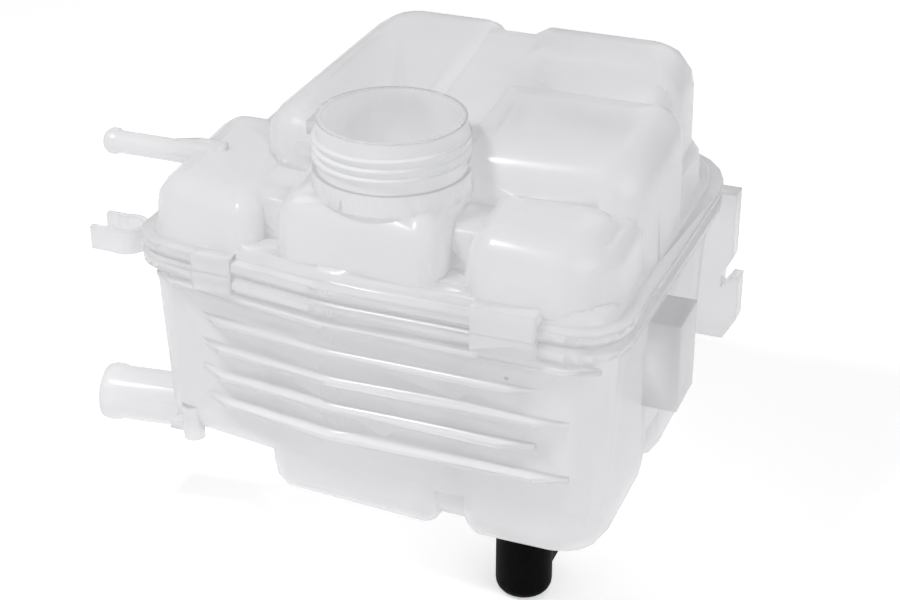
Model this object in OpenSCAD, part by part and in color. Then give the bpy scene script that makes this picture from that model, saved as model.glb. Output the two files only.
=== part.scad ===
/* [Body] */
// Wall of both moulded shells
wall = 2.6; // [2.2:0.1:3.2]
// Width of the tank across its side walls
body_w = 179; // [172:1:196]
// Offset of the tank's middle to the right of the filler neck
body_off = 1.3; // [0:0.1:3]
// Depth of the tank from front wall to rear wall
body_d = 154; // [150:1:170]
// Height of the filler mouth over the weld plane
mouth_rise = 56; // [52:1:64]
// Depth of the left lobe under the weld plane
left_depth = 77; // [72:1:84]
// Depth of the middle lobe under the weld plane
mid_depth = 92; // [88:1:98]
// Depth of the right front lobe under the weld plane
right_depth = 92; // [86:1:96]
// Depth of the right rear lobe under the weld plane
rear_depth = 93; // [88:1:100]
// Width of the slot between two upper lobes
lobe_gap = 7; // [5:0.5:10]
// Rise of the roof towards the back, as a slope
roof_slope = 0.17; // [0.12:0.01:0.2]

/* [Weld flange] */
// How far the flange stands out of the wall
flange_out = 4; // [3:0.5:6]
// Thickness of the flange of each shell
flange_t = 5; // [4:0.5:6]
// Step of the weld bead behind the flange edge
bead_step = 1.2; // [0.8:0.1:1.6]
// Width of the wide locating lug
lug_w = 23; // [18:1:28]

/* [Front ribs] */
// Thickness of a front rib
rib_t = 1.8; // [1.4:0.1:2.4]
// Distance from the weld plane to the top rib
rib_first = 11; // [9:0.5:14]
// Pitch of the front ribs
rib_pitch = 11; // [9:0.5:12]
// Number of front ribs
rib_count = 5; // [3:1:6]

/* [Filler neck] */
// Outer diameter of the neck tube
neck_d = 52; // [50:0.5:54]
// Bore of the neck
neck_bore = 47.6; // [45:0.2:48]
// Height of the neck over the roof
neck_h = 20; // [18:0.5:24]

/* [Hose spigots] */
// Outer diameter of the outlet spigot
outlet_d = 20.5; // [18:0.5:22]
// Bore of the outlet spigot
outlet_bore = 15.6; // [14:0.2:17]
// Length of the outlet spigot outside the wall
outlet_l = 31; // [26:1:40]
// Outer diameter of the vent spigot
vent_d = 8.4; // [7:0.2:10]
// Bore of the vent spigot
vent_bore = 5; // [4:0.2:6]
// Length of the vent spigot outside the wall
vent_l = 29; // [24:1:36]
// Height of the hose bead on a spigot
hose_bead = 0.7; // [0.5:0.1:1]

/* [Hose clip] */
// Diameter of the hose that the clip holds
clip_hose_d = 11; // [9:0.5:12]
// Thickness of the clip arms
clip_t = 2.2; // [1.8:0.1:2.6]
// Height of the clip
clip_h = 9; // [7:0.5:11]

/* [Brackets] */
// Gap of the slide-on bracket
pocket_gap = 7; // [6:0.5:8]
// Width of the slide-on bracket
pocket_w = 22; // [18:1:26]
// Height of the slide-on bracket
pocket_h = 34; // [28:1:38]
// Thickness of bracket walls
bracket_t = 2.4; // [2:0.1:3]

/* [Level sensor] */
// Outer diameter of the sensor well inside the tank
well_d = 11; // [10:0.5:12]
// Wall of the sensor well
well_wall = 1.8; // [1.5:0.1:2.2]
// Height of the sensor well over the lobe floor
well_h = 50; // [46:1:54]
// Diameter of the sensor housing under the tank
sensor_d = 21; // [19:0.5:23]
// Height of the sensor housing under the tank
sensor_h = 35; // [32:1:42]
// Clearance of the sensor stem in its well
stem_clear = 0.15; // [0.1:0.05:0.25]
// Outer diameter of the float
float_d = 22; // [20:1:23]
// Height of the float
float_h = 14; // [12:0.5:16]
// Clearance of the float on the well
float_clear = 0.6; // [0.4:0.1:0.9]
// Travel of the float
float_travel = 18; // [14:1:20]

/* [Hidden] */
$fn = 64;
weld_z = -mouth_rise;
half_w = body_w / 2;
left_x = body_off - half_w;
right_x = body_off + half_w;
front_y = -32;
rear_y = front_y + body_d;
side_kick = 12;
bend_x = -12;
corner_n = 4;
edge_n = 4;
milky = [0.93, 0.94, 0.92];
black = [0.06, 0.06, 0.07];
tin = [0.75, 0.75, 0.72];

// Lobe limits across the tank
slot_left = -38;
slot_right = 31;
spine_x = 13;
cross_y = 62;
lobe_foot = weld_z + 4;
bottom_r = 12;
groove = 3;
lug_x = 54;
lug_out = 1.6;
small_lug_x = -56;
small_lug_w = 15;
small_lug_out = 0.6;
flow_r = 7;

// Sensor axis in the right front lobe
sensor_x = 49.8;
sensor_y = 2;
floor_z = weld_z - right_depth;
well_top = floor_z + well_h;
well_bore_r = well_d / 2 - well_wall;
collar_z = floor_z + wall + 8;
magnet_h = 4;

// Plan of the side walls: a bent front, a kicked-in front left corner and square sides
plan = [[left_x, front_y + side_kick], [bend_x, front_y], [right_x - 2, front_y - 1],
    [right_x, rear_y], [left_x, rear_y]];
plan_r = [13, 60, 14, 32, 12];

function unit(v) = v / norm(v);
function left_of(v) = [-v[1], v[0]];
function cross2(a, b) = a[0] * b[1] - a[1] * b[0];

// Meeting point of the line through p along u and the line through q along v
function meet(p, u, q, v) = p + u * (cross2(q - p, v) / cross2(u, v));

// Convex outline with each edge moved inwards by d
function inset(pts, d) = [for (i = [0:len(pts) - 1])
    let (
        n = len(pts),
        a = pts[(i + n - 1) % n],
        b = pts[i],
        c = pts[(i + 1) % n],
        u = unit(b - a),
        v = unit(c - b)
    )
    meet(b + left_of(u) * d, u, b + left_of(v) * d, v)];

// Convex outline with each corner turned into an arc of radius r[i]
function rounded(pts, r, steps) = [for (i = [0:len(pts) - 1])
    let (
        n = len(pts),
        b = pts[i],
        u = unit(pts[(i + n - 1) % n] - b),
        v = unit(pts[(i + 1) % n] - b),
        half = acos(u * v) / 2,
        mid = b + unit(u + v) * (r[i] / sin(half)),
        from = b + u * (r[i] / tan(half)) - mid,
        turn = 180 - 2 * half
    )
    for (k = [0:steps])
        let (t = turn * k / steps)
        mid + [from[0] * cos(t) - from[1] * sin(t), from[0] * sin(t) + from[1] * cos(t)]];

function shrink(r, d) = [for (x = r) max(x - d, 1.5)];
function box_plan(x0, x1, y0, y1) = [[x0, y0], [x1, y0], [x1, y1], [x0, y1]];

// Rings of a moulded lobe: [height as a share of full rise, height, inset]
function dome_rings(z0, z1, r, draft) = concat(
    [[0, z0, 0]],
    [for (k = [0:edge_n])
        let (t = 90 * k / edge_n)
        [1, z1 - r + r * sin(t), draft + r * (1 - cos(t))]]);

// Closed loft through the rings; slope tips the far end in proportion to y
module loft(pts, radii, rings, slope = 0) {
    loops = [for (g = rings)
        [for (p = rounded(inset(pts, g[2]), shrink(radii, g[2]), corner_n))
            [p[0], p[1], g[1] + g[0] * slope * p[1]]]];
    n = len(loops[0]);
    m = len(loops);
    up = rings[m - 1][1] > rings[0][1];
    side = [for (j = [0:m - 2]) for (i = [0:n - 1])
        let (a = j * n + i, b = j * n + (i + 1) % n)
        each [[a, a + n, b], [b, a + n, b + n]]];
    foot = [[for (i = [0:n - 1]) i]];
    head = [[for (i = [n - 1:-1:0]) (m - 1) * n + i]];
    faces = concat(foot, side, head);
    polyhedron([for (l = loops) each l], up ? faces : [for (f = faces) [for (i = [len(f) - 1:-1:0]) f[i]]]);
}

// Lobe, or with t above zero the space inside its wall
module lobe(pts, radii, z0, z1, r, draft, slope, t) {
    s = z1 > z0 ? 1 : -1;
    rr = max(r - t, 3);
    rings = [for (g = dome_rings(0, abs(z1 - z0) - t, rr, draft)) [g[0], z0 + s * g[1], g[2]]];
    loft(inset(pts, t), shrink(radii, t), rings, slope);
}

// Plan line of the front wall at x
function front_line(x) = x < bend_x
    ? front_y + side_kick * (bend_x - x) / (bend_x - left_x)
    : front_y - (x - bend_x) / (right_x - 2 - bend_x);

// Outline from x0 to x1 whose front follows the front wall, d behind it
function front_plan(x0, x1, y1, d) = [[x0, front_line(x0) + d], [x1, front_line(x1) + d], [x1, y1], [x0, y1]];

// Roof lobes of the upper shell as [outline, corner radii, top, edge radius, slope]
roof_z = -neck_h;
roof_lobes = [
    [front_plan(left_x + 2, slot_left - lobe_gap / 2, 47, 0.7), [12, 8, 10, 12], weld_z + 27.5, 11, 0.06],
    [front_plan(slot_left + lobe_gap / 2, slot_right - lobe_gap / 2, 44, 1.5),
        [8, 9, 10, 12], roof_z - 0.5, 10, roof_slope],
    [front_plan(slot_right + lobe_gap / 2, right_x - 6, 10, 0.8), [12, 18, 14, 8], weld_z + 34, 13, 0.1],
    [front_plan(slot_right + 10, right_x - 2.6, 18, 5), [12, 18, 12, 8], weld_z + 28, 8, 0],
    [box_plan(spine_x + 2, right_x - 1.5, 4, cross_y - 1), [14, 18, 10, 8], roof_z + 8, 15, roof_slope],
    [box_plan(spine_x + 2, right_x - 7, cross_y + 1, 102), [8, 10, 18, 12], roof_z + 8.6, 15, roof_slope],
    [[[-60, 8], [spine_x - 1, 8], [spine_x - 1, 103], [-42, 103]], [14, 8, 12, 20], roof_z + 7, 13, roof_slope],
    [box_plan(-36, right_x - 9, 26, 99), [12, 14, 18, 14], roof_z + 5.5, 12, roof_slope],
    [box_plan(-64, right_x - 3.2, front_y + 17, 100), [14, 16, 16, 20], weld_z + 25.5, 8, 0],
    [box_plan(left_x + 8, right_x - 12, 30, rear_y - 6), [14, 16, 24, 20], weld_z + 15, 7, 0]];

module upper_form(t) {
    lobe(plan, plan_r, weld_z - (t > 0 ? 1 : 0), weld_z + 10, 5, 0.3, 0, t);
    for (q = roof_lobes)
        lobe(q[0], q[1], lobe_foot, q[2], q[3], 0.8, q[4], t);
}

// Lower lobes as [outline, corner radii, depth, edge radius]
floor_lobes = [
    [front_plan(slot_left - 6, slot_right - groove / 2, rear_y - 4, 2), [12, 10, 10, 12], mid_depth, bottom_r],
    [front_plan(slot_right + groove / 2, right_x - 2.5, 38, 1.5), [10, 20, 12, 10], right_depth, bottom_r + 1],
    [box_plan(slot_right + groove / 2, right_x - 2.5, 38 + groove, rear_y - 3),
        [10, 12, 28, 10], rear_depth, bottom_r],
    [front_plan(slot_left + 4, right_x - 6, rear_y - 8, 5), [10, 12, 12, 10], mid_depth - 5, 8]];

module lower_form(t) {
    lobe(plan, plan_r, weld_z + (t > 0 ? 1 : 0), weld_z - left_depth, bottom_r, 3.2, 0, t);
    for (q = floor_lobes)
        lobe(q[0], q[1], weld_z - 20, weld_z - q[2], q[3], 2, 0, t);
}

// Flat ring that follows the wall, out past it by d
module rim(d, z0, z1) {
    translate([0, 0, z0]) linear_extrude(z1 - z0) difference() {
        polygon(rounded(inset(plan, -d), [for (r = plan_r) r + d], 6));
        polygon(rounded(inset(plan, wall), shrink(plan_r, wall), 6));
    }
}

// Baffle plates that part the chambers, with round flow holes
module baffles(z0, z1, hole_z, hole_r) {
    difference() {
        union() {
            translate([slot_left - wall / 2 - 1, front_y - 2, z0]) cube([wall, body_d + 4, z1 - z0]);
            translate([slot_right - wall / 2, front_y - 2, z0]) cube([wall, body_d + 4, z1 - z0]);
            translate([slot_right, 40 + groove / 2 - wall / 2 - 2, z0]) cube([right_x - slot_right, wall, z1 - z0]);
        }
        for (x = [slot_left - 1, slot_right], y = [6, 84])
            translate([x, y, hole_z]) rotate([0, 90, 0]) cylinder(r = hole_r, h = 3 * wall, center = true);
        translate([(slot_right + right_x) / 2, 40, hole_z]) rotate([90, 0, 0])
            cylinder(r = hole_r, h = 4 * wall, center = true);
    }
}

// Raised locating lug on the front flange
module lug(x, w, z0, z1, out) {
    y = min(front_line(x - w / 2), front_line(x + w / 2)) - flange_out;
    translate([x - w / 2, y - out, z0]) cube([w, out + flange_out + 0.8, z1 - z0]);
}

vent_y = 10;
vent_z = weld_z + 24.8;
// Stop for the cap on the left of the neck
module cap_stop() {
    translate([-neck_d / 2 - 5, -2, -11]) cube([7, 7, 5]);
}

module vent_spigot() {
    translate([left_x - vent_l, vent_y, vent_z]) rotate([0, 90, 0]) {
        translate([0, 0, 1]) cylinder(d = vent_d, h = vent_l + 15);
        rotate_extrude() polygon([[0, 0], [vent_d / 2 - 0.6, 0], [vent_d / 2, 0.8], [vent_d / 2 + hose_bead, 2],
            [vent_d / 2 + hose_bead, 4], [vent_d / 2, 5], [0, 5]]);
    }
}

// Stiffening web on top of the vent spigot's root
module vent_web() {
    translate([0, vent_y + 1, 0]) rotate([90, 0, 0]) linear_extrude(2)
        polygon([[left_x - 1, vent_z + vent_d / 2 - 1], [left_x - 1, vent_z + vent_d / 2 + 0.3],
            [left_x + 9, vent_z + vent_d / 2 + 2], [left_x + 20, vent_z + vent_d / 2 + 2],
            [left_x + 20, vent_z - 3], [left_x + 9, vent_z - 3]]);
}

// Open C clip for a small hose, on a web from the flange
clip_r = clip_hose_d / 2;
clip_x = left_x - flange_out - clip_r - clip_t - 3;
clip_y = -5;
clip_z = weld_z - clip_h;
module hose_clip() {
    translate([clip_x, clip_y, clip_z]) {
        difference() {
            union() {
                cylinder(r = clip_r + clip_t, h = clip_h);
                translate([0, -clip_t, 0]) cube([clip_r + clip_t + 10, 2 * clip_t, clip_h]);
            }
            translate([0, 0, -1]) cylinder(r = clip_r, h = clip_h + 2);
            translate([-2 * clip_r - 2, -clip_r + 1, -1]) cube([2 * clip_r, 2 * clip_r - 2, clip_h + 2]);
        }
        for (s = [-1, 1])
            translate([-clip_r - 6, s * (clip_r + clip_t / 2 - 0.6) - clip_t / 2, 0])
                cube([9, clip_t, clip_h]);
    }
}

module upper_shell() {
    color(milky) difference() {
        union() {
            difference() {
                union() {
                    upper_form(0);
                    rim(flange_out - bead_step, weld_z, weld_z + 2);
                    rim(flange_out, weld_z + 2, weld_z + flange_t);
                    lug(lug_x, lug_w, weld_z, weld_z + flange_t + 5, lug_out);
                    lug(small_lug_x, small_lug_w, weld_z, weld_z + flange_t + 2, small_lug_out);
                    translate([0, 0, -neck_h - 6]) cylinder(d = neck_d + 3, h = 8);
                    vent_spigot();
                    vent_web();
                }
                difference() {
                    upper_form(wall);
                    baffles(weld_z - 2, weld_z + 60, weld_z + 16, flow_r);
                }
            }
            translate([0, 0, -neck_h - 4]) cylinder(d = neck_d, h = neck_h + 4);
            cap_stop();
        }
        translate([0, 0, -neck_h - 12]) cylinder(d = neck_bore, h = neck_h + 13);
        translate([left_x - vent_l - 1, vent_y, vent_z]) rotate([0, 90, 0])
            cylinder(d = vent_bore, h = vent_l + 18);
    }
}

// Ribs that stand out of the front wall, each with its ends run out into it
rib_from = [-84, -66, -66, -66, -64];
rib_to = [86, 66, 76, 64, 76];
module rib(i) {
    x0 = rib_from[min(i, 4)];
    x1 = rib_to[min(i, 4)];
    z = weld_z - rib_first - i * rib_pitch;
    xs = [x0, x0 + 10, -12, x1 - 12, x1];
    out = [for (k = [0:4]) [xs[k], front_line(xs[k]) - (k == 0 || k == 4 ? -1.5 : flange_out - 0.5)]];
    back = [for (k = [4:-1:0]) [xs[k], front_line(xs[k]) + (k == 0 || k == 4 ? 3 : 4.4)]];
    translate([0, 0, z]) linear_extrude(rib_t) polygon(concat(out, back));
}

// Outlet spigot with a rounded hose bead, low on the left wall
outlet_y = -3;
outlet_z = weld_z - left_depth + outlet_d / 2 - 5.6;
outlet_turn = 7;
module outlet_at() {
    translate([left_x + 3, outlet_y, outlet_z]) rotate([0, 0, outlet_turn]) rotate([0, -90, 0]) children();
}
module outlet_spigot() {
    outlet_at() {
        translate([0, 0, -5]) cylinder(d = outlet_d, h = outlet_l + 5);
        translate([0, 0, outlet_l - 7]) rotate_extrude() polygon([[0, 0], [outlet_d / 2, 0],
            [outlet_d / 2 + hose_bead, 2], [outlet_d / 2 + hose_bead, 5], [outlet_d / 2 - 0.6, 7], [0, 7]]);
    }
}

// Small boss and tab under the root of the outlet spigot
module outlet_foot() {
    x = left_x + 14;
    y = front_line(x) + 5;
    translate([x, y, weld_z - left_depth - 0.5]) cylinder(r = 4, h = 14);
    translate([x - 9, y - 2, weld_z - left_depth + 2]) cube([9, 6, 3]);
}

// Slide-on pocket on the right wall: a front fin, an outer plate and a top stop
pocket_y = 17;
pocket_z = weld_z - 15;
module slide_bracket() {
    x0 = right_x - 4;
    x1 = right_x + pocket_gap;
    translate([x0, pocket_y, pocket_z - pocket_h]) cube([x1 - x0 + bracket_t, bracket_t, pocket_h]);
    translate([x1, pocket_y, pocket_z - pocket_h]) cube([bracket_t, pocket_w, pocket_h]);
    translate([x0, pocket_y, pocket_z - bracket_t]) cube([x1 - x0 + bracket_t, pocket_w, bracket_t]);
}

// Hooked plate at the rear of the right wall
hook_y = 104;
module hook_bracket() {
    x0 = right_x;
    translate([0, hook_y + 8, 0]) rotate([90, 0, 0]) linear_extrude(8) polygon([[x0 - 14, weld_z - 3],
        [x0 + 7, weld_z - 3], [x0 + 7, weld_z - 30], [x0 + 3, weld_z - 38], [x0 + 3, weld_z - 43],
        [x0 + 6.5, weld_z - 38], [x0 + 10, weld_z - 38], [x0 + 10, weld_z - 56], [x0 + 5, weld_z - 65],
        [x0 - 14, weld_z - 65]]);
}

module lower_shell() {
    color(milky) difference() {
        union() {
            difference() {
                union() {
                    lower_form(0);
                    rim(flange_out - bead_step, weld_z - 2, weld_z);
                    rim(flange_out, weld_z - flange_t, weld_z - 2);
                    lug(lug_x, lug_w, weld_z - flange_t - 1, weld_z, lug_out);
                    lug(small_lug_x, small_lug_w, weld_z - flange_t - 2, weld_z, small_lug_out);
                    for (i = [0:rib_count - 1])
                        rib(i);
                    outlet_spigot();
                    outlet_foot();
                    hose_clip();
                    slide_bracket();
                    hook_bracket();
                }
                difference() {
                    lower_form(wall);
                    baffles(weld_z - rear_depth - 2, weld_z + 2, weld_z - 66, flow_r);
                }
            }
            translate([sensor_x, sensor_y, floor_z + 1]) cylinder(d = well_d, h = well_h - 1);
            translate([sensor_x, sensor_y, floor_z + 1]) cylinder(d = well_d + 8, h = collar_z - floor_z - 1);
        }
        translate([sensor_x, sensor_y, floor_z - 1]) cylinder(r = well_bore_r, h = well_h - well_wall + 1);
        outlet_at() translate([0, 0, -16]) cylinder(d = outlet_bore, h = outlet_l + 18);
    }
}

// Sensor housing under the tank, its stem in the well and a plug socket at the back
stem_r = well_bore_r - stem_clear;
reed_r = 1.3;
reed_l = 14;
reed_z = collar_z + 2;
socket_w = 13;
socket_h = 9;
socket_z = floor_z - sensor_h + 10;
pin_t = 0.8;
pin_gap = 4;
module level_sensor() {
    color(black) translate([sensor_x, sensor_y, 0]) difference() {
        union() {
            translate([0, 0, floor_z - 0.3 - sensor_h]) rotate_extrude() polygon(concat([[0, 0]],
                [for (a = [0:15:90]) [sensor_d / 2 - 5 + 5 * sin(a), 5 - 5 * cos(a)]],
                [[sensor_d / 2, sensor_h], [0, sensor_h]]));
            translate([0, 0, floor_z - 1]) cylinder(r = stem_r, h = well_h - well_wall - 0.5);
            translate([-socket_w / 2 - 2, 0, socket_z - 2]) cube([socket_w + 4, sensor_d / 2 + 9, socket_h + 4]);
        }
        translate([-socket_w / 2, sensor_d / 2 - 2, socket_z]) cube([socket_w, 12, socket_h]);
        translate([0, 0, reed_z - 0.1]) cylinder(r = reed_r + 0.1, h = reed_l + 0.2);
        for (s = [-1, 1])
            translate([s * pin_gap - pin_t / 2 - 0.02, sensor_d / 2 - 6, socket_z + socket_h / 2 - pin_t])
                cube([pin_t + 0.04, 5, 2 * pin_t]);
    }
}

module terminal(s) {
    color(tin) translate([sensor_x + s * pin_gap - pin_t / 2, sensor_y + sensor_d / 2 - 6,
        socket_z + socket_h / 2 - pin_t + 0.02]) cube([pin_t, 11, 2 * pin_t - 0.04]);
}
module terminal_left() terminal(-1);
module terminal_right() terminal(1);

module reed_switch() {
    color("lightblue") translate([sensor_x, sensor_y, reed_z]) cylinder(r = reed_r, h = reed_l);
}

// Ring float that rises along the well, with a ring magnet let into its underside
float_r = float_d / 2;
float_bore_r = well_d / 2 + float_clear;
magnet_r = float_bore_r + 2.6;
module level_float() {
    color([0.85, 0.83, 0.78]) translate([sensor_x, sensor_y, collar_z]) difference() {
        rotate_extrude() polygon([[float_bore_r, 0], [float_r - 1.5, 0], [float_r, 1.5],
            [float_r, float_h - 1.5], [float_r - 1.5, float_h], [float_bore_r, float_h]]);
        translate([0, 0, float_h - magnet_h]) cylinder(r = magnet_r + 0.02, h = magnet_h + 1);
    }
}

module float_magnet() {
    color("dimgray") translate([sensor_x, sensor_y, collar_z + float_h - magnet_h]) rotate_extrude()
        polygon([[float_bore_r + 0.1, 0], [magnet_r, 0], [magnet_r, magnet_h - 0.4], [float_bore_r + 0.1, magnet_h - 0.4]]);
}

// Snap cap on the tip of the well, the upper stop of the float
retainer_z = collar_z + float_h + float_travel + 0.3;
module float_retainer() {
    color([0.9, 0.9, 0.86]) translate([sensor_x, sensor_y, retainer_z]) difference() {
        cylinder(d = well_d + 7, h = well_top - retainer_z + 2);
        translate([0, 0, -1]) cylinder(d = well_d + 0.04, h = well_top - retainer_z + 1.02);
    }
}

upper_shell();
lower_shell();
level_sensor();
terminal_left();
terminal_right();
reed_switch();
level_float();
float_magnet();
float_retainer();
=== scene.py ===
import math
import bmesh
import bpy
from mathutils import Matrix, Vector


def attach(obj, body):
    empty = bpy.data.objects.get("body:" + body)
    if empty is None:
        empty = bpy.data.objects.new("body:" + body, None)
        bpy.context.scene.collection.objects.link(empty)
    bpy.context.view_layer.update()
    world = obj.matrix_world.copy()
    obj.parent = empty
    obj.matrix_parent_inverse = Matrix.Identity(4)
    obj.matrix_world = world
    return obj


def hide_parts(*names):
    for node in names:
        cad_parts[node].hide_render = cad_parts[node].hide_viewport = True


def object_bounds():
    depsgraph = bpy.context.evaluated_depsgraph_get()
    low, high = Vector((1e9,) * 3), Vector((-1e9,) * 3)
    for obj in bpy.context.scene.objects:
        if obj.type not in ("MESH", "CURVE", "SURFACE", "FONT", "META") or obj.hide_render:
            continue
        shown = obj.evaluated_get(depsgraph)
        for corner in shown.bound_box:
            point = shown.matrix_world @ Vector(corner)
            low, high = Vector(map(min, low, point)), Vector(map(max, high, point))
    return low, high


# The tank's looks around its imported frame. Metres, origin at the filler mouth, +Z up, +Y to the back.

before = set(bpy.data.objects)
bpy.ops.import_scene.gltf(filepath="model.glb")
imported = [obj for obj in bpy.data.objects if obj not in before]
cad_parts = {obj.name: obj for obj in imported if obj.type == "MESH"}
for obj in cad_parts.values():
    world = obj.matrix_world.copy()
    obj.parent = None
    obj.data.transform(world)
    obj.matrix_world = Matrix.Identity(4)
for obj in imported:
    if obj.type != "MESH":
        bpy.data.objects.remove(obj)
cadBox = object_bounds()
print("frame loaded:", sorted(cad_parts))

# camera of the photograph: 80 mm lens on a 36 mm sensor, 28 degrees down, from the right of the front
cameraPlace = {"lens": 80, "sensor": 36, "pitch": 28, "turn": 21, "place": (0.2425, -0.5766, 0.2617)}
studio = {"floorGap": 0.0, "keyPower": 3.4, "fillPower": 1.8, "frontPower": 0.7, "rimPower": 1.1, "worldLight": 0.3}


def makeCamera():
    cam = bpy.data.cameras.new("photoCamera")
    cam.lens = cameraPlace["lens"]
    cam.sensor_width = cameraPlace["sensor"]
    obj = bpy.data.objects.new("photoCamera", cam)
    bpy.context.scene.collection.objects.link(obj)
    p = math.radians(cameraPlace["pitch"])
    a = math.radians(cameraPlace["turn"])
    look = Vector((-math.sin(a) * math.cos(p), math.cos(a) * math.cos(p), -math.sin(p)))
    obj.location = cameraPlace["place"]
    obj.rotation_euler = look.to_track_quat("-Z", "Y").to_euler()
    bpy.context.scene.camera = obj


def areaLight(name, place, aim, size, power):
    light = bpy.data.lights.new(name, "AREA")
    light.shape = "DISK"
    light.size = size
    light.energy = power
    obj = bpy.data.objects.new(name, light)
    bpy.context.scene.collection.objects.link(obj)
    obj.location = place
    obj.rotation_euler = (Vector(aim) - Vector(place)).to_track_quat("-Z", "Y").to_euler()


def nodeMaterial(name):
    mat = bpy.data.materials.new(name)
    mat.use_nodes = True
    tree = mat.node_tree
    tree.nodes.clear()
    out = tree.nodes.new("ShaderNodeOutputMaterial")
    shader = tree.nodes.new("ShaderNodeBsdfPrincipled")
    tree.links.new(shader.outputs["BSDF"], out.inputs["Surface"])
    return mat, tree, shader, out


def noiseOn(tree, scale, detail=4.0, stretch=(1, 1, 1)):
    coord = tree.nodes.new("ShaderNodeTexCoord")
    mapping = tree.nodes.new("ShaderNodeMapping")
    mapping.inputs["Scale"].default_value = stretch
    noise = tree.nodes.new("ShaderNodeTexNoise")
    noise.inputs["Scale"].default_value = scale
    noise.inputs["Detail"].default_value = detail
    tree.links.new(coord.outputs["Object"], mapping.inputs["Vector"])
    tree.links.new(mapping.outputs["Vector"], noise.inputs["Vector"])
    return noise


def rampFrom(tree, source, low, high, lowAt=0.3, highAt=0.7):
    ramp = tree.nodes.new("ShaderNodeValToRGB")
    ramp.color_ramp.elements[0].position = lowAt
    ramp.color_ramp.elements[0].color = low
    ramp.color_ramp.elements[1].position = highAt
    ramp.color_ramp.elements[1].color = high
    tree.links.new(source, ramp.inputs["Fac"])
    return ramp


def bumpFrom(tree, source, shader, strength, distance):
    bump = tree.nodes.new("ShaderNodeBump")
    bump.inputs["Strength"].default_value = strength
    bump.inputs["Distance"].default_value = distance
    tree.links.new(source, bump.inputs["Height"])
    tree.links.new(bump.outputs["Normal"], shader.inputs["Normal"])
    return bump


# milky translucent polypropylene: gloss over a diffuse body, light soaking through, a little see-through; its inner
# value is the strength of a painted glow
milk = {"tone": (0.93, 0.93, 0.94, 1), "shade": (0.89, 0.89, 0.9, 1), "rough": 0.24,
        "soak": 0.5, "inner": 0.14, "coat": 0.5, "seeThrough": 0.22, "cornerRadius": 0.0016,
        "ochreLeft": (0.0072, -0.0284, -0.138), "ochreRight": (0.0122, -0.0284, -0.139),
        "ochreTone": (0.66, 0.46, 0.24, 1),
        "speck": (0.0535, -0.0315, -0.0745), "speckTone": (0.02, 0.02, 0.02, 1)}


def stainOn(tree, under, place, colour, radius, strength):
    # one small mark round a point of the wall
    coord = tree.nodes.new("ShaderNodeTexCoord")
    away = tree.nodes.new("ShaderNodeVectorMath")
    away.operation = "DISTANCE"
    away.inputs[1].default_value = place
    fade = tree.nodes.new("ShaderNodeMapRange")
    fade.inputs["From Min"].default_value = radius
    fade.inputs["From Max"].default_value = radius * 0.4
    fade.inputs["To Max"].default_value = strength
    grain = noiseOn(tree, 1.2 / radius, 3.0)
    patch = tree.nodes.new("ShaderNodeMath")
    patch.operation = "MULTIPLY"
    mix = tree.nodes.new("ShaderNodeMix")
    mix.data_type = "RGBA"
    mix.inputs["B"].default_value = colour
    tree.links.new(coord.outputs["Object"], away.inputs[0])
    tree.links.new(away.outputs["Value"], fade.inputs["Value"])
    tree.links.new(fade.outputs["Result"], patch.inputs[0])
    rampOn = rampFrom(tree, grain.outputs["Fac"], (0.2, 0.2, 0.2, 1), (1, 1, 1, 1), 0.35, 0.6)
    tree.links.new(rampOn.outputs["Color"], patch.inputs[1])
    tree.links.new(patch.outputs[0], mix.inputs["Factor"])
    tree.links.new(under, mix.inputs["A"])
    return mix.outputs["Result"]


def milkyPlastic(name, seeThrough):
    mat, tree, shader, out = nodeMaterial(name)
    cloud = noiseOn(tree, 14.0, 3.0)
    tone = rampFrom(tree, cloud.outputs["Fac"], milk["shade"], milk["tone"], 0.25, 0.75)
    stained = stainOn(tree, tone.outputs["Color"], milk["ochreLeft"], milk["ochreTone"], 0.0026, 0.5)
    stained = stainOn(tree, stained, milk["ochreRight"], milk["ochreTone"], 0.0022, 0.5)
    stained = stainOn(tree, stained, milk["speck"], milk["speckTone"], 0.0011, 1.0)
    tree.links.new(stained, shader.inputs["Base Color"])
    shader.inputs["Roughness"].default_value = milk["rough"]
    shader.inputs["Coat Weight"].default_value = milk["coat"]
    shader.inputs["Coat Roughness"].default_value = 0.12
    # painted glow: a constant white emission that lifts the plastic's shaded parts, standing in for light scattered
    # about inside the walls
    shader.inputs["Emission Color"].default_value = (1, 1, 1, 1)
    shader.inputs["Emission Strength"].default_value = milk["inner"]
    flow = noiseOn(tree, 45.0, 2.0, (1, 1, 0.5))
    bump = bumpFrom(tree, flow.outputs["Fac"], shader, 0.15, 0.0008)
    soft = tree.nodes.new("ShaderNodeBevel")
    soft.samples = 4
    soft.inputs["Radius"].default_value = milk["cornerRadius"]
    tree.links.new(soft.outputs["Normal"], bump.inputs["Normal"])
    soak = tree.nodes.new("ShaderNodeBsdfTranslucent")
    tree.links.new(tone.outputs["Color"], soak.inputs["Color"])
    clear = tree.nodes.new("ShaderNodeBsdfTransparent")
    body = tree.nodes.new("ShaderNodeMixShader")
    body.inputs["Fac"].default_value = milk["soak"]
    thin = tree.nodes.new("ShaderNodeMixShader")
    thin.inputs["Fac"].default_value = seeThrough
    tree.links.new(shader.outputs["BSDF"], body.inputs[1])
    tree.links.new(soak.outputs["BSDF"], body.inputs[2])
    tree.links.new(body.outputs[0], thin.inputs[1])
    tree.links.new(clear.outputs["BSDF"], thin.inputs[2])
    tree.links.new(thin.outputs[0], out.inputs["Surface"])
    return mat


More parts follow.
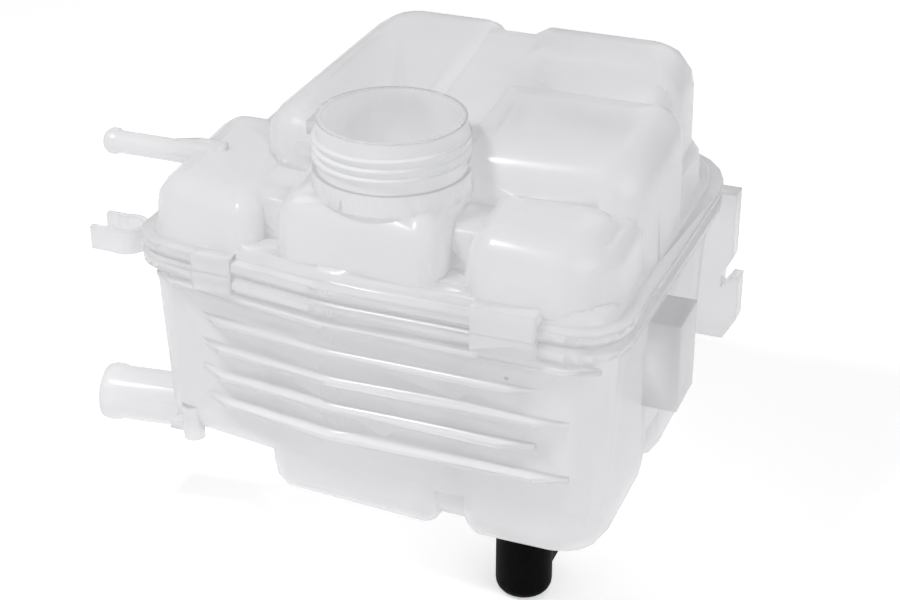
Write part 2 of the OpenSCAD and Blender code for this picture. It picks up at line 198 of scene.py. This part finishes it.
def blackPlastic():
    mat, tree, shader, out = nodeMaterial("blackPlastic")
    grain = noiseOn(tree, 700.0, 3.0)
    tone = rampFrom(tree, grain.outputs["Fac"], (0.0008, 0.0008, 0.001, 1), (0.0025, 0.0025, 0.003, 1))
    tree.links.new(tone.outputs["Color"], shader.inputs["Base Color"])
    bumpFrom(tree, grain.outputs["Fac"], shader, 0.25, 0.0002)
    shader.inputs["Roughness"].default_value = 0.55
    shader.inputs["Specular IOR Level"].default_value = 0.04
    return mat


def plainMaterial(name, low, high, rough, metallic=0.0, scale=300.0, bump=0.15):
    mat, tree, shader, out = nodeMaterial(name)
    grain = noiseOn(tree, scale, 3.0)
    tone = rampFrom(tree, grain.outputs["Fac"], low, high)
    tree.links.new(tone.outputs["Color"], shader.inputs["Base Color"])
    bumpFrom(tree, grain.outputs["Fac"], shader, bump, 0.0002)
    shader.inputs["Roughness"].default_value = rough
    shader.inputs["Metallic"].default_value = metallic
    return mat


def smoothCopy(node, name, angle):
    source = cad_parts[node]
    mesh = source.data.copy()
    piece = bpy.data.objects.new(name, mesh)
    bpy.context.scene.collection.objects.link(piece)
    bpy.ops.object.select_all(action="DESELECT")
    piece.select_set(True)
    bpy.context.view_layer.objects.active = piece
    bm = bmesh.new()
    bm.from_mesh(mesh)
    bmesh.ops.remove_doubles(bm, verts=bm.verts, dist=2e-6)
    bmesh.ops.dissolve_degenerate(bm, dist=1e-6, edges=bm.edges)
    bm.to_mesh(mesh)
    bm.free()
    bpy.ops.object.shade_smooth_by_angle(angle=math.radians(angle))
    weight = piece.modifiers.new("weighted", "WEIGHTED_NORMAL")
    weight.keep_sharp = True
    weight.weight = 90
    bpy.ops.object.modifier_apply(modifier=weight.name)
    return piece


makeCamera()

milky = milkyPlastic("milkyPlastic", milk["seeThrough"])
black = blackPlastic()
tinned = plainMaterial("tinnedBlade", (0.6, 0.6, 0.58, 1), (0.75, 0.75, 0.73, 1), 0.3, 1.0)
reedGlass = plainMaterial("reedGlass", (0.7, 0.8, 0.78, 1), (0.8, 0.88, 0.85, 1), 0.08)
floatFoam = plainMaterial("floatFoam", (0.72, 0.69, 0.6, 1), (0.84, 0.81, 0.72, 1), 0.6, 0.0, 500.0, 0.4)
magnetGrey = plainMaterial("magnetGrey", (0.1, 0.1, 0.11, 1), (0.18, 0.18, 0.19, 1), 0.5)

shells = {"upper_shell": "upperShell", "lower_shell": "lowerShell"}
for node, name in shells.items():
    piece = smoothCopy(node, name, 32)
    piece.data.materials.clear()
    piece.data.materials.append(milky)
    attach(piece, "tank")
    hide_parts(node)
    print("shell ready:", name, len(piece.data.polygons))

# ridge of the neck thread, wound round the plain tube of the neck
thread = {"foot": -0.0155, "pitch": 0.0034, "turns": 3.2, "inner": 0.0255, "outer": 0.0275, "thick": 0.0017, "steps": 72}


def makeThread():
    bpy.ops.object.select_all(action="DESELECT")
    bpy.ops.mesh.primitive_plane_add(size=0.001, location=(0, 0, 0))
    piece = bpy.context.object
    piece.name = "neckThread"
    low, half = thread["foot"], thread["thick"] / 2
    outline = [(thread["inner"], low - half), (thread["outer"], low - half * 0.3),
               (thread["inner"], low + half), (thread["outer"], low + half * 0.3)]
    for corner, place in zip(piece.data.vertices, outline):
        corner.co = (place[0], 0, place[1])
    bpy.ops.object.mode_set(mode="EDIT")
    bpy.ops.mesh.select_all(action="SELECT")
    bpy.ops.mesh.delete(type="ONLY_FACE")
    bpy.ops.object.mode_set(mode="OBJECT")
    wind = piece.modifiers.new("wind", "SCREW")
    wind.angle = math.tau * thread["turns"]
    wind.screw_offset = thread["pitch"] * thread["turns"]
    wind.steps = int(thread["steps"] * thread["turns"])
    wind.render_steps = wind.steps
    wind.axis = "Z"
    bpy.ops.object.modifier_apply(modifier=wind.name)
    top = thread["pitch"] * thread["turns"]
    for corner in piece.data.vertices:
        reach = math.hypot(corner.co.x, corner.co.y)
        if reach > (thread["inner"] + thread["outer"]) / 2:
            along = corner.co.z - low
            fade = max(0.0, min(1.0, along * 4 / thread["pitch"], (top - along) * 4 / thread["pitch"]))
            reachNow = thread["inner"] + (reach - thread["inner"]) * fade
            corner.co.x *= reachNow / reach
            corner.co.y *= reachNow / reach
    bpy.ops.object.mode_set(mode="EDIT")
    bpy.ops.mesh.select_all(action="SELECT")
    bpy.ops.mesh.normals_make_consistent(inside=False)
    bpy.ops.object.mode_set(mode="OBJECT")
    bpy.ops.object.shade_smooth_by_angle(angle=math.radians(40))
    piece.data.materials.clear()
    piece.data.materials.append(milky)
    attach(piece, "tank")
    print("thread ready:", len(piece.data.polygons))


makeThread()

looks = {"level_sensor": black, "terminal_left": tinned, "terminal_right": tinned, "reed_switch": reedGlass,
         "level_float": floatFoam, "float_magnet": magnetGrey, "float_retainer": milky}
for node, mat in looks.items():
    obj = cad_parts[node]
    if not obj.material_slots:
        obj.data.materials.append(mat)
    for slot in obj.material_slots:
        slot.link = "OBJECT"
        slot.material = mat

# floor and studio
low = cadBox[0][2]
floorZ = low - studio["floorGap"]
bpy.ops.mesh.primitive_plane_add(size=6, location=(0, 0, floorZ))
floor = bpy.context.object
floor.name = "studioFloor"
mat, tree, shader, out = nodeMaterial("studioFloor")
grain = noiseOn(tree, 3.0)
tone = rampFrom(tree, grain.outputs["Fac"], (0.93, 0.93, 0.93, 1), (0.95, 0.95, 0.95, 1))
tree.links.new(tone.outputs["Color"], shader.inputs["Base Color"])
shader.inputs["Roughness"].default_value = 0.9
shader.inputs["Specular IOR Level"].default_value = 0.0
path = tree.nodes.new("ShaderNodeLightPath")
seen = tree.nodes.new("ShaderNodeMath")
seen.operation = "MAXIMUM"
seenAlso = tree.nodes.new("ShaderNodeMath")
seenAlso.operation = "MAXIMUM"
tree.links.new(path.outputs["Is Camera Ray"], seen.inputs[0])
tree.links.new(path.outputs["Is Transmission Ray"], seen.inputs[1])
tree.links.new(seen.outputs[0], seenAlso.inputs[0])
tree.links.new(path.outputs["Is Glossy Ray"], seenAlso.inputs[1])
glow = tree.nodes.new("ShaderNodeEmission")
glow.inputs["Strength"].default_value = 0.5
both = tree.nodes.new("ShaderNodeAddShader")
pick = tree.nodes.new("ShaderNodeMixShader")
tree.links.new(shader.outputs["BSDF"], both.inputs[0])
tree.links.new(glow.outputs["Emission"], both.inputs[1])
tree.links.new(seenAlso.outputs[0], pick.inputs["Fac"])
tree.links.new(shader.outputs["BSDF"], pick.inputs[1])
tree.links.new(both.outputs[0], pick.inputs[2])
tree.links.new(pick.outputs[0], out.inputs["Surface"])
floor.data.materials.append(mat)

areaLight("keyLight", (-0.30, -0.38, 0.66), (0, 0.03, -0.06), 0.17, studio["keyPower"])
areaLight("frontLight", (0.15, -1.05, 0.0), (0, 0, -0.1), 0.8, studio["frontPower"])
areaLight("fillLight", (0.75, -0.35, 0.35), (0, 0.03, -0.06), 0.6, studio["fillPower"])
areaLight("rimLight", (0.1, 0.9, 0.5), (0, 0.03, -0.06), 0.6, studio["rimPower"])
world = bpy.data.worlds.new("studioWorld")
bpy.context.scene.world = world
world.use_nodes = True
world.node_tree.nodes["Background"].inputs["Color"].default_value = (1, 1, 1, 1)
world.node_tree.nodes["Background"].inputs["Strength"].default_value = studio["worldLight"]
bpy.context.scene.view_settings.view_transform = "Standard"
print("studio ready")
